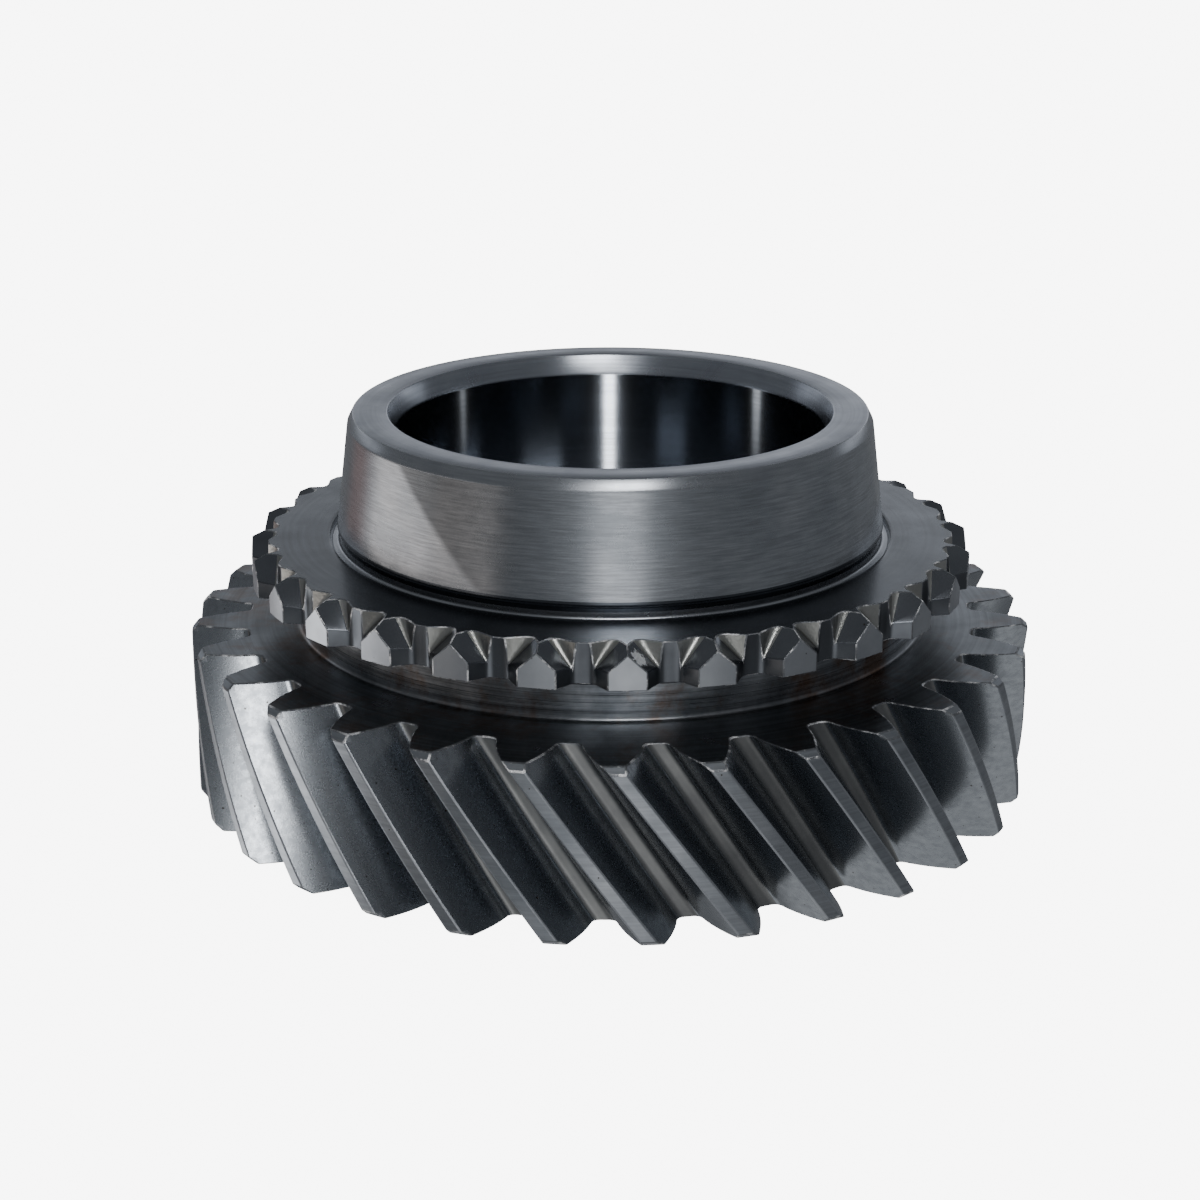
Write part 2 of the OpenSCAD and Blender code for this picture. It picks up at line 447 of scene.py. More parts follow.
@dataclass
class DogRing:
    """The ring of pointed dog teeth, in millimetres and degrees.

    Half a tooth and half a gap are built on the side of +Y, so their angles start from 90.
    """

    count: int = 28
    outer_r: float = 37.1
    root_r: float = 35.3
    half_width: float = 1.775
    flank: float = 33.0
    root_round: float = 1.0
    bottom: float = 22.65
    top: float = 26.7
    point_drop: float = 0.6
    roof: float = 42.8
    ridge: float = 25.6
    wall_radius: float = 34.1
    wall_half_width: float = 0.78
    wall_turn: float = 22.5
    wall_lean: float = 7.0
    phase: float = 2.24
    inner: float = 33.4
    edge_break: float = 0.1
    crease: float = 0.7
    round_steps: int = 5
    arc_steps: int = 7
    cutter_size: float = 16
    # Depth of the outer face behind its circle, and reach of an eave in widths of the broken edge.
    face_depth: float = 0.2
    eave_reach: float = 0.8

    @property
    def half_pitch(self) -> float:
        """Gives the angle from the middle of a tooth to the middle of a gap."""
        return 180 / self.count

    def side(self) -> list[Vector]:
        """Gives the slanted side of a tooth.

        Returns:
            The outer corner and the points of the rounding that ends on the root circle.
        """
        slant = math.radians(self.flank)
        inward = Vector((math.sin(slant), -math.cos(slant)))
        square = Vector((math.cos(slant), math.sin(slant)))
        edge = Vector((self.half_width, self.outer_r))
        reach = edge.dot(inward)
        corner = edge + inward * (-reach - math.sqrt(reach**2 - edge.length_squared + self.outer_r**2))
        away = edge + self.root_round * square
        run = away.dot(inward)
        limit = (self.root_r + self.root_round) ** 2
        centre = away + inward * (-run - math.sqrt(run**2 - away.length_squared + limit))
        start = math.atan2(-square.y, -square.x)
        finish = math.atan2(-centre.y, -centre.x)
        steps = self.round_steps
        bow = [start + (finish - start) * i / steps for i in range(steps + 1)]
        curve = [centre + self.root_round * Vector((math.cos(a), math.sin(a))) for a in bow]
        return [corner, *curve]

    def half_plan(self) -> list[Vector]:
        """Gives the outline of half a tooth and half a gap, seen from above.

        Returns:
            Points of the outline at height 0.
        """
        half_pitch = self.half_pitch
        steps = self.arc_steps
        inner = [polar(self.inner, 90 - half_pitch * i / steps) for i in range(steps + 1)]
        side = self.side()
        foot_angle = math.degrees(math.atan2(side[-1].y, side[-1].x))
        sweep = foot_angle - 90 + half_pitch
        root = [polar(self.root_r, 90 - half_pitch + sweep * i / 2) for i in range(2)]
        corner_angle = math.degrees(math.atan2(side[0].y, side[0].x))
        outer = [polar(self.outer_r, corner_angle + (90 - corner_angle) * i / 2) for i in (1, 2)]
        return inner + root + [point.to_3d() for point in side[::-1]] + outer

    def cutter(self) -> bmesh.types.BMesh:
        """Builds the solid above one roof and in front of the wall behind it.

        Returns:
            A closed mesh that is cut out of the block.
        """
        bm = bmesh.new()
        middle = Matrix.Translation((0, self.outer_r, self.top))
        bmesh.ops.create_cube(bm, size=self.cutter_size, matrix=middle)
        roof = Vector((math.tan(math.radians(self.roof)), math.tan(math.radians(self.ridge)), 1))
        lean = math.radians(self.wall_lean)
        turn = math.radians(self.wall_turn)
        wall = Vector((-math.sin(turn) * math.cos(lean), math.cos(turn) * math.cos(lean), math.sin(lean)))
        planes = (
            ((0, self.outer_r, self.top - self.point_drop), roof),
            ((self.wall_half_width, self.wall_radius, self.top), wall),
        )
        for place, normal in planes:
            cut = bmesh.ops.bisect_plane(
                bm,
                geom=bm.verts[:] + bm.edges[:] + bm.faces[:],
                plane_co=place,
                plane_no=normal,
                clear_inner=True,
            )
            edges = [item for item in cut["geom_cut"] if isinstance(item, bmesh.types.BMEdge)]
            bmesh.ops.edgeloop_fill(bm, edges=edges)
        bmesh.ops.recalc_face_normals(bm, faces=bm.faces)
        return bm

    def block(self) -> bmesh.types.BMesh:
        """Builds half a tooth and half a gap as a plain upright block.

        Returns:
            A closed mesh.
        """
        bm = bmesh.new()
        verts = [bm.verts.new((point.x, point.y, self.bottom)) for point in self.half_plan()]
        face = bm.faces.new(verts)
        raised = bmesh.ops.extrude_face_region(bm, geom=[face])
        tops = [item for item in raised["geom"] if isinstance(item, bmesh.types.BMVert)]
        bmesh.ops.translate(bm, verts=tops, vec=(0, 0, self.top - self.bottom))
        # The extrusion can take the bottom face up with it, and then the block needs a new one.
        if not any(f.normal.z < -0.5 for f in bm.faces):
            bmesh.ops.contextual_create(bm, geom=verts)
        bmesh.ops.recalc_face_normals(bm, faces=bm.faces)
        return bm

    def open_sides(self, bm: bmesh.types.BMesh) -> None:
        """Removes the faces of the half sector that lie against its neighbours.

        Args:
            bm: Mesh of the half sector.
        """

        def against(face: bmesh.types.BMFace) -> bool:
            """Tells whether a face lies on the middle plane, the gap plane or the inner circle."""
            on_middle = all(abs(v.co.x) < MERGE for v in face.verts)
            on_gap = all(abs(degrees_of(v.co) - 90 + self.half_pitch) < IN_GAP for v in face.verts)
            on_inner = all(radius_of(v.co) < self.inner + MERGE for v in face.verts)
            return on_middle or on_gap or on_inner

        bmesh.ops.delete(bm, geom=[f for f in bm.faces if against(f)], context="FACES")

    def dress_zones(self, bm: bmesh.types.BMesh) -> None:
        """Sets the zone of each face by the way it faces and its place.

        Args:
            bm: Mesh of one whole tooth.
        """
        bm.normal_update()
        for face in bm.faces:
            middle = face.calc_center_median()
            up = face.normal.z
            outward = face.normal.dot(Vector((middle.x, middle.y, 0)).normalized())
            if abs(up) > LEVEL_UP:
                face.material_index = Zone.RING_TOP
            elif up > ROOF_UP:
                face.material_index = Zone.DOG_ROOF
            elif up > WALL_UP:
                face.material_index = Zone.DOG_WALL
            elif outward > FACING_OUT and radius_of(middle) > self.outer_r - self.face_depth:
                face.material_index = Zone.DOG_FACE
            else:
                face.material_index = Zone.DOG_SIDE

    def beside(self, point: Vector, start: Vector, end: Vector) -> bool:
        """Tells whether a point lies within the broken edge along a stretch of eave.

        Args:
            point: Point to test.
            start: One end of the stretch.
            end: Other end of the stretch.

        Returns:
            True where the point is near the stretch and between its ends.
        """
        near, share = intersect_point_line(point, start, end)
        return 0 < share < 1 and (point - near).length < self.eave_reach * self.edge_break

    def break_corners(self, bm: bmesh.types.BMesh) -> None:
        """Breaks the sharp corners, and keeps the eaves between roof and side from looking worn.

        Args:
            bm: Mesh of one whole tooth with its zones.
        """
        corners = sharp_edges(bm, CORNER)
        plain = {Zone.DOG_ROOF, Zone.DOG_SIDE}
        eaves = [
            tuple(vert.co.copy() for vert in edge.verts)
            for edge in corners
            if {face.material_index for face in edge.link_faces} == plain
        ]
        soften(bm, corners, self.edge_break, CORNER_STRIPS, Zone.EDGE)
        for face in bm.faces:
            if face.material_index == Zone.EDGE and any(
                self.beside(face.calc_center_median(), *eave) for eave in eaves
            ):
                face.material_index = Zone.DOG_SIDE

    def build(self) -> bmesh.types.BMesh:
        """Builds the whole ring.

        Returns:
            The mesh, open inside its inner circle above and below.
        """
        bm = carved(self.block(), self.cutter())
        self.open_sides(bm)
        everything = bm.verts[:] + bm.edges[:] + bm.faces[:]
        bmesh.ops.mirror(bm, geom=everything, merge_dist=MERGE, axis="X")
        bmesh.ops.remove_doubles(bm, verts=bm.verts, dist=MERGE)
        face_outward(bm, self.top)
        bm.normal_update()
        seam = [edge for edge in bm.edges if edge.is_manifold and edge.calc_face_angle(1.0) < FLAT]
        bmesh.ops.dissolve_edges(bm, edges=seam, use_verts=False)
        self.dress_zones(bm)
        creases = sharp_edges(bm, CREASE, convex=False)
        soften(bm, creases, self.crease, CREASE_STRIPS, Zone.DOG_WALL)
        self.break_corners(bm)
        turn = Matrix.Rotation(math.radians(self.phase - 90), 3, "Z")
        bmesh.ops.rotate(bm, verts=bm.verts, cent=(0, 0, 0), matrix=turn)
        copy_round(bm, self.count)
        return bm


def carved(body: bmesh.types.BMesh, tool: bmesh.types.BMesh) -> bmesh.types.BMesh:
    """Cuts one closed mesh out of another with an exact Boolean.

    Args:
        body: Mesh that is cut; it is freed.
        tool: Mesh that is taken away; it is freed.

    Returns:
        A new mesh of what is left.
    """
    objects = []
    for name, source in (("block", body), ("cutter", tool)):
        mesh = bpy.data.meshes.new(name)
        source.to_mesh(mesh)
        source.free()
        thing = bpy.data.objects.new(name, mesh)
        bpy.context.scene.collection.objects.link(thing)
        objects.append(thing)
    cut = objects[0].modifiers.new("cut", "BOOLEAN")
    cut.operation = "DIFFERENCE"
    cut.solver = "EXACT"
    cut.object = objects[1]
    graph = bpy.context.evaluated_depsgraph_get()
    result = bmesh.new()
    result.from_object(objects[0], graph)
    for thing in objects:
        mesh = thing.data
        bpy.data.objects.remove(thing)
        bpy.data.meshes.remove(mesh)
    bmesh.ops.remove_doubles(result, verts=result.verts, dist=MERGE)
    return result


@dataclass
class TurnedBody:
    """The neck, cone, bore and hub faces turned on a lathe, in millimetres and degrees."""

    teeth: GearTeeth
    dogs: DogRing
    height: float
    sectors: int = 30
    sector_steps: int = 12
    neck_r: float = 32.3
    neck_round: float = 0.5
    neck_foot: float = 0.75
    neck_steps: int = 5
    # Start, end and depth of each faint turned step on the neck, above the gear face.
    marks: tuple[tuple[float, float, float], ...] = (
        (0.95, 1.2, 0.04),
        (1.45, 1.6, 0.03),
        (1.85, 2.1, 0.05),
        (2.6, 2.8, 0.03),
    )
    mark_slant: float = 0.03
    relief_depth: float = 0.35
    relief_height: float = 1.2
    cone_base_r: float = 28.2
    cone_angle: float = 7.0
    cone_base: float = 27.6
    cone_step: float = 0.15
    step_round: float = 0.07
    cone_chamfer_height: float = 1.05
    cone_chamfer_depth: float = 0.55
    foot_r: float = 28.0
    foot_round: float = 0.42
    foot_rise: float = 0.8
    foot_steps: int = 6
    lip_r: float = 29.0
    lip_flat: float = 0.4
    lip_slant: float = 0.3
    groove_depth: float = 0.48
    bore_r: float = 22.0
    lead_r: float = 22.75
    lead_height: float = 2.0
    foot_chamfer: float = 0.8
    hub_relief_inner: float = 27.5
    hub_relief_outer: float = 34.5
    hub_relief_depth: float = 1.2
    edge_break: float = 0.12
    # Length of the straight run beside a corner of the top faces, and of the one under the crest.
    stub: float = 0.3
    crest_stub: float = 0.2
    # Height of a point on the bore wall that only gives the direction into the foot's rounding.
    bore_guide: float = 3.0
    join_r: float = 33.0

    def neck_strips(self) -> list[tuple[Zone, Section]]:
        """Gives the section from the gear face up to the underside of the dog ring.

        Returns:
            Zone and section of each strip.
        """
        face = self.teeth.width
        under = self.dogs.bottom
        relief_r = self.neck_r - self.relief_depth
        start = under - self.relief_height
        foot = (self.neck_r + self.neck_foot, face)
        body = [(self.neck_r, face + self.neck_foot)]
        fillet = rounded([foot, (self.neck_r, face), body[0]], self.neck_round, self.neck_steps)
        for low, high, depth in self.marks:
            sunk_r = self.neck_r - depth
            body += [(self.neck_r, face + low), (sunk_r, face + low + self.mark_slant)]
            body += [(sunk_r, face + high - self.mark_slant), (self.neck_r, face + high)]
        body.append((self.neck_r, start))
        relief = rounded(
            [body[-1], (relief_r, start + self.relief_depth), (relief_r, under), (self.join_r, under)],
            self.edge_break,
        )
        return [
            (Zone.GEAR_FACE, [(self.teeth.top_inner, face), foot]),
            (Zone.NECK, fillet),
            (Zone.NECK, body),
            (Zone.NECK, relief[:-1]),
            (Zone.RING_TOP, relief[-2:]),
        ]

    def upper_strips(self) -> list[tuple[Zone, Section]]:
        """Gives the section from the top of the dog ring over the cone and down to the bore.

        Returns:
            Zone and section of each strip.
        """
        ring = self.dogs.top
        soft = self.edge_break
        floor = ring - self.groove_depth
        slope_end = (self.lip_r - self.lip_slant, floor)
        lip = rounded([(self.lip_r + self.lip_flat, ring), (self.lip_r, ring), slope_end], soft)
        foot = [slope_end, (self.foot_r, floor), (self.foot_r, floor + self.foot_rise)]
        fillet = rounded(foot, self.foot_round, self.foot_steps)
        cone_foot = self.on_cone(self.cone_base + self.cone_step + self.stub)
        undercut = rounded(
            [
                fillet[-1],
                (self.foot_r, self.cone_base - self.cone_step),
                (self.cone_base_r, self.cone_base + self.cone_step),
                cone_foot,
            ],
            self.step_round,
        )
        top = self.height
        chamfer_start = top - self.cone_chamfer_height
        crest = self.on_cone(chamfer_start)
        under_crest = self.on_cone(chamfer_start - self.crest_stub)
        rim = (crest[0] - self.cone_chamfer_depth, top)
        upper_edge = rounded([under_crest, crest, rim], soft)
        rim_edge = rounded([upper_edge[-2], rim, (rim[0] - self.stub, top)], soft)
        lead_edge = self.lead_edge()
        return [
            (Zone.RING_TOP, [(self.join_r, ring), *lip]),
            (Zone.CONE_RIM, fillet),
            (Zone.GROOVE, undercut),
            (Zone.CONE, [cone_foot, under_crest, upper_edge[1]]),
            (Zone.CONE_RIM, upper_edge[1:-1]),
            (Zone.CONE_RIM, [upper_edge[-2], rim_edge[1]]),
            (Zone.CONE_RIM, rim_edge[1:-1]),
            (Zone.TOP_FACE, [rim_edge[-2], lead_edge[1]]),
            (Zone.LEAD_IN, lead_edge[1:-1]),
        ]

    def inner_strips(self) -> list[tuple[Zone, Section]]:
        """Gives the section down the lead-in and the bore to the bottom face.

        Returns:
            Zone and section of each strip.
        """
        soft = self.edge_break
        knee = (self.bore_r, self.height - self.lead_height)
        lead_edge = self.lead_edge()
        knee_edge = rounded([lead_edge[-2], knee, (self.bore_r, knee[1] - 1)], soft)
        foot = (self.bore_r, self.foot_chamfer)
        land_r = self.bore_r + self.foot_chamfer
        foot_edge = rounded([(self.bore_r, self.bore_guide), foot, (land_r, 0)], soft)
        hub_edge = rounded([foot_edge[-2], (land_r, 0), (self.hub_relief_inner, 0)], soft)
        slope = self.hub_relief_depth / 2
        relief = rounded(
            [
                (land_r + 1, 0),
                (self.hub_relief_inner, 0),
                (self.hub_relief_inner + slope, self.hub_relief_depth),
                (self.hub_relief_outer - slope, self.hub_relief_depth),
                (self.hub_relief_outer, 0),
                (self.teeth.bottom_inner, 0),
            ],
            soft,
        )
        return [
            (Zone.LEAD_IN, [lead_edge[-2], knee_edge[1]]),
            (Zone.LEAD_IN, knee_edge[1:-1]),
            (Zone.BORE, [knee_edge[-2], foot_edge[1]]),
            (Zone.HUB_FACE, foot_edge[1:-1]),
            (Zone.HUB_FACE, [foot_edge[-2], hub_edge[1]]),
            (Zone.HUB_FACE, hub_edge[1:-1]),
            (Zone.HUB_FACE, [hub_edge[-2], *relief[1:]]),
        ]

    def lead_edge(self) -> Section:
        """Gives the rounded corner between the top face and the lead-in."""
        top = self.height
        knee = (self.bore_r, top - self.lead_height)
        return rounded([(self.lead_r + self.stub, top), (self.lead_r, top), knee], self.edge_break)

    def on_cone(self, height: float) -> tuple[float, float]:
        """Gives the point of the cone surface at a height, as radius and height."""
        fall = (height - self.cone_base) * math.tan(math.radians(self.cone_angle))
        return self.cone_base_r - fall, height

    def turn(self, bm: bmesh.types.BMesh, strips: list[tuple[Zone, Section]], start: float) -> None:
        """Spins strips of section through one sector.

        Args:
            bm: Mesh that takes the rings.
            strips: Zone and section of each strip.
            start: Angle at which the spin starts, in degrees.
        """
        for zone, section in strips:
            verts, edges = chain(bm, [polar(radius, start, height) for radius, height in section])
            turn_about_axis(bm, verts + edges, 360 / self.sectors, self.sector_steps)
            for face in bm.faces:
                if not face.tag:
                    face.material_index = zone
                    face.tag = True

    def build(self) -> bmesh.types.BMesh:
        """Builds the turned surfaces.

        Returns:
            The mesh, open where the two rings of teeth join it.
        """
        bm = bmesh.new()
        self.turn(bm, self.neck_strips(), self.teeth.middle(self.teeth.width))
        self.turn(bm, self.upper_strips() + self.inner_strips(), self.teeth.middle(0.0))
        copy_round(bm, self.sectors)
        return bm


@dataclass
class SpeedGear:
    """The whole one-piece gear: helical teeth, dog ring and turned body in one closed mesh."""

    name: str
    height: float

    def __post_init__(self) -> None:
        """Sets up the three regions of the forging."""
        self.teeth = GearTeeth()
        self.dogs = DogRing()
        self.body = TurnedBody(self.teeth, self.dogs, self.height)

    def join_circles(self, bm: bmesh.types.BMesh, height: float) -> None:
        """Fills the flat gap between the turned body and the dog ring.

        Args:
            bm: Mesh of all three regions.
            height: Height of the gap, in millimetres.
        """
        rims = [
            edge
            for edge in bm.edges
            if len(edge.link_faces) == 1 and all(abs(v.co.z - height) < MERGE for v in edge.verts)
        ]
        made = bmesh.ops.triangle_fill(bm, edges=rims, use_beauty=True)
        faces = [item for item in made["geom"] if isinstance(item, bmesh.types.BMFace)]
        for face in faces:
            face.material_index = Zone.RING_TOP
        area = sum(face.calc_area() for face in faces)
        LOG.info("flat join at %.2f mm: %d faces, %.3f mm2", height, len(faces), area)

    def mark_shading(self, bm: bmesh.types.BMesh) -> None:
        """Smooths every face and keeps a clean line at each bevel and corner.

        Args:
            bm: Mesh of the whole gear.
        """
        bm.normal_update()
        for face in bm.faces:
            face.smooth = True
        for edge in bm.edges:
            bevels = {face.material_index in (Zone.EDGE, Zone.TOOTH_EDGE) for face in edge.link_faces}
            angle = edge.calc_face_angle(0.0)
            edge.smooth = not (angle > math.radians(SHARP) or len(bevels) > 1)

    def build(self) -> bpy.types.Object:
        """Joins the regions into one mesh object in metres.

        Returns:
            The object, with its origin at that of the frame.
        """
        whole = bmesh.new()
        for region in (self.teeth, self.dogs, self.body):
            part = region.build()
            scratch = bpy.data.meshes.new("region")
            part.to_mesh(scratch)
            LOG.info("%s: %d faces", type(region).__name__, len(part.faces))
            part.free()
            whole.from_mesh(scratch)
            bpy.data.meshes.remove(scratch)
        bmesh.ops.remove_doubles(whole, verts=whole.verts, dist=MERGE)
        for height in (self.dogs.bottom, self.dogs.top):
            self.join_circles(whole, height)
        bmesh.ops.recalc_face_normals(whole, faces=whole.faces)
        self.mark_shading(whole)
        loose = [edge for edge in whole.edges if len(edge.link_faces) != 2]
        LOG.info("%s: %d faces, %d open edges", self.name, len(whole.faces), len(loose))
        bmesh.ops.scale(whole, vec=(MM, MM, MM), verts=whole.verts)
        mesh = bpy.data.meshes.new(self.name)
        whole.to_mesh(mesh)
        whole.free()
        piece = bpy.data.objects.new(self.name, mesh)
        bpy.context.scene.collection.objects.link(piece)
        return piece


def linear(code: str) -> tuple[float, float, float, float]:
    """Turns an sRGB hex code into a linear colour with full alpha."""
    parts = [int(code[i : i + 2], 16) / 255 for i in (0, 2, 4)]
    lit = [c / 12.92 if c <= 0.04045 else ((c + 0.055) / 1.055) ** 2.4 for c in parts]
    return (*lit, 1.0)


def put(tree: bpy.types.NodeTree, kind: str, sockets: dict | None = None, **settings) -> bpy.types.Node:
    """Adds a node with its settings and links.

    Args:
        tree: Node tree that takes the node.
        kind: Type name of the node.
        sockets: Value or output socket for each input, by name or number.
        settings: Properties of the node.

    Returns:
        The new node.
    """
    node = tree.nodes.new(kind)
    for name, value in settings.items():
        setattr(node, name, value)
    for name, value in (sockets or {}).items():
        if isinstance(value, bpy.types.NodeSocket):
            tree.links.new(value, node.inputs[name])
        else:
            node.inputs[name].default_value = value
    return node


class Lines(Enum):
    """Which way the tool marks of a surface run."""

    RINGS = "rings"
    NONE = "none"


@dataclass(frozen=True)
class SteelFinish:
    """Case-hardened steel, with the marks of the tool that made the surface.

    Lengths are in millimetres and colours are sRGB hex codes. Turned and ground steel has lines
    0.02 to 0.1 mm apart. They are drawn coarser than real, because finer ones don't show.
    """

    name: str
    shade: str
    tint: str
    roughness: float
    swing: float = 0.03
    line_pitch: float = 0.4
    drift: float = 1.0
    line_depth: float = 0.002
    line_tone: float = 0.15
    lines: Lines = Lines.RINGS
    anisotropy: float = 0.0
    pits: float = 0.0
    stain: float = 0.0
    blotch: float = 5.0
    patchy: bool = False
    # Whether the left of the cone gets painted shade behind a slanting edge.
    painted_shade: bool = False
    nick: tuple[float, float, float] | None = None

    def material(self) -> bpy.types.Material:
        """Builds the node material of this finish.

        Returns:
            The new material.
        """
        material = bpy.data.materials.new(self.name)
        material.use_nodes = True
        tree = material.node_tree
        tree.nodes.clear()
        place = put(tree, "ShaderNodeTexCoord").outputs["Object"]
        height = self.tool_marks(tree, place)
        cloud = put(
            tree,
            "ShaderNodeTexNoise",
            {"Vector": place, "Scale": 1 / (self.blotch * MM), "Detail": 4.0, "Roughness": 0.6},
        ).outputs["Fac"]
        colour = self.steel_colour(tree, place, cloud, height)
        low, high = NOISE_RANGE
        rough = put(
            tree,
            "ShaderNodeMapRange",
            {
                "Value": cloud,
                "From Min": low,
                "From Max": high,
                "To Min": self.roughness - self.swing,
                "To Max": self.roughness + self.swing,
            },
        ).outputs["Result"]
        layers = []
        if self.pits > 0:
            pit = self.pitting(tree, place)
            height = put(tree, "ShaderNodeMath", {0: height, 1: pit}, operation="SUBTRACT").outputs[0]
            layers.append((pit, PIT_COLOUR))
        if self.nick:
            chip = self.chipped(tree, place)
            torn = put(
                tree,
                "ShaderNodeTexNoise",
                {"Vector": place, "Scale": 1 / (TEAR_SIZE * MM), "Detail": 2.0},
            ).outputs["Fac"]
            deep = put(tree, "ShaderNodeMath", {0: torn, 1: TEAR_DEPTH}, operation="MULTIPLY").outputs[0]
            height, rough = (
                put(tree, "ShaderNodeMath", {0: chip, 1: more, 2: old}, operation="MULTIPLY_ADD").outputs[0]
                for more, old in ((deep, height), (TEAR_ROUGHNESS, rough))
            )
            layers.append((chip, CHIP_COLOUR))
        if self.stain > 0:
            layers.append((self.oil(tree, place), STAIN_COLOUR))
        for share, code in layers:
            colour = put(
                tree, "ShaderNodeMix", {0: share, 6: colour, 7: linear(code)}, data_type="RGBA"
            ).outputs[2]
        bump = put(
            tree,
            "ShaderNodeBump",
            {"Height": height, "Strength": 1.0, "Distance": self.line_depth * MM},
        ).outputs["Normal"]
        shader = put(
            tree,
            "ShaderNodeBsdfPrincipled",
            {
                "Base Color": colour,
                "Roughness": rough,
                "Metallic": 1.0,
                "Normal": bump,
                "Anisotropic": self.anisotropy,
            },
        )
        if self.anisotropy > 0:
            axis = put(tree, "ShaderNodeCombineXYZ", {"Z": 1.0}).outputs[0]
            tree.links.new(axis, shader.inputs["Tangent"])
        put(tree, "ShaderNodeOutputMaterial", {"Surface": shader.outputs["BSDF"]})
        return material

    def steel_colour(
        self,
        tree: bpy.types.NodeTree,
        place: bpy.types.NodeSocket,
        cloud: bpy.types.NodeSocket,
        marks: bpy.types.NodeSocket,
    ) -> bpy.types.NodeSocket:
        """Makes the colour of the steel with its tool marks and any painted shade.

        Args:
            tree: Node tree of the material.
            place: Object coordinates.
            cloud: Soft noise that blends the two colours.
            marks: Height of the tool marks.

        Returns:
            The colour.
        """
        low, high = PATCH_RANGE if self.patchy else NOISE_RANGE
        share = put(
            tree, "ShaderNodeMapRange", {"Value": cloud, "From Min": low, "From Max": high}
        ).outputs["Result"]
        both = {0: share, 6: linear(self.shade), 7: linear(self.tint)}
        colour = put(tree, "ShaderNodeMix", both, data_type="RGBA").outputs[2]
        factors = []
        if self.lines is Lines.RINGS:
            low, high = NOISE_RANGE
            tones = {
                "Value": marks,
                "From Min": low,
                "From Max": high,
                "To Min": 1 - self.line_tone,
                "To Max": 1 + self.line_tone,
            }
            factors.append(put(tree, "ShaderNodeMapRange", tones).outputs["Result"])
        # Painted shade: the left of the cone darkened behind a slanting edge.
        if self.painted_shade:
            factors.append(self.paint_cone_shade(tree, place))
        for factor in factors:
            colour = put(
                tree, "ShaderNodeVectorMath", {0: colour, "Scale": factor}, operation="SCALE"
            ).outputs[0]
        return colour

    def tool_marks(self, tree: bpy.types.NodeTree, place: bpy.types.NodeSocket) -> bpy.types.NodeSocket:
        """Makes rings at fixed height and radius, or fine grain where there are none.

        Args:
            tree: Node tree of the material.
            place: Object coordinates.

        Returns:
            The height of the marks, from 0 to 1.
        """
        if self.lines is Lines.NONE:
            return put(
                tree,
                "ShaderNodeTexNoise",
                {"Vector": place, "Scale": 1 / (self.line_pitch * MM), "Detail": 3.0},
            ).outputs["Fac"]
        parts = put(tree, "ShaderNodeSeparateXYZ", {"Vector": place})
        flat = put(
            tree, "ShaderNodeCombineXYZ", {"X": parts.outputs["X"], "Y": parts.outputs["Y"]}
        ).outputs[0]
        away = put(tree, "ShaderNodeVectorMath", {0: flat}, operation="LENGTH").outputs["Value"]
        angle = put(
            tree,
            "ShaderNodeMath",
            {0: parts.outputs["Y"], 1: parts.outputs["X"]},
            operation="ARCTAN2",
        ).outputs[0]
        pull = self.drift * self.line_pitch * MM
        drift = put(tree, "ShaderNodeMath", {0: angle, 1: pull}, operation="MULTIPLY").outputs[0]
        rings = put(
            tree,
            "ShaderNodeCombineXYZ",
            {"X": away, "Y": parts.outputs["Z"], "Z": drift},
        ).outputs[0]
        return put(
            tree,
            "ShaderNodeTexNoise",
            {"Vector": rings, "Scale": 1 / (self.line_pitch * MM), "Detail": 3.0, "Roughness": 0.65},
        ).outputs["Fac"]

    def pitting(self, tree: bpy.types.NodeTree, place: bpy.types.NodeSocket) -> bpy.types.NodeSocket:
        """Makes scattered small round pits.

        Args:
            tree: Node tree of the material.
            place: Object coordinates.

        Returns:
            A share, 1 inside a pit and 0 outside.
        """
        cells = put(
            tree,
            "ShaderNodeTexVoronoi",
            {"Vector": place, "Scale": 1 / (PIT_SPACING * MM), "Randomness": 1.0},
        )
        size = put(
            tree,
            "ShaderNodeMapRange",
            {
                "Value": cells.outputs["Color"],
                "From Min": 1 - self.pits,
                "From Max": 1.0,
                "To Min": 0.0,
                "To Max": PIT_SIZE,
            },
        ).outputs["Result"]
        return put(
            tree,
            "ShaderNodeMath",
            {0: cells.outputs["Distance"], 1: size},
            operation="LESS_THAN",
        ).outputs[0]

    def chipped(self, tree: bpy.types.NodeTree, place: bpy.types.NodeSocket) -> bpy.types.NodeSocket:
        """Makes one ragged bright chip where the sleeve has struck a tooth.

        Args:
            tree: Node tree of the material.
            place: Object coordinates.

        Returns:
            A share, 1 inside the chip and 0 outside.
        """
        centre = tuple(value * MM for value in self.nick)
        gap = put(tree, "ShaderNodeVectorMath", {0: place, 1: centre}, operation="DISTANCE").outputs["Value"]
        rags = put(
            tree,
            "ShaderNodeTexNoise",
            {"Vector": place, "Scale": 1 / (RAG_SIZE * MM), "Detail": 4.0, "Roughness": 0.7},
        ).outputs["Fac"]
        ragged = put(
            tree, "ShaderNodeMath", {0: rags, 1: CHIP_RAGS * MM, 2: gap}, operation="MULTIPLY_ADD"
        ).outputs[0]
        start, end = CHIP_REACH * MM, CHIP_END * MM
        return put(
            tree,
            "ShaderNodeMapRange",
            {"Value": ragged, "From Min": start, "From Max": end, "To Min": 1.0, "To Max": 0.0},
        ).outputs["Result"]

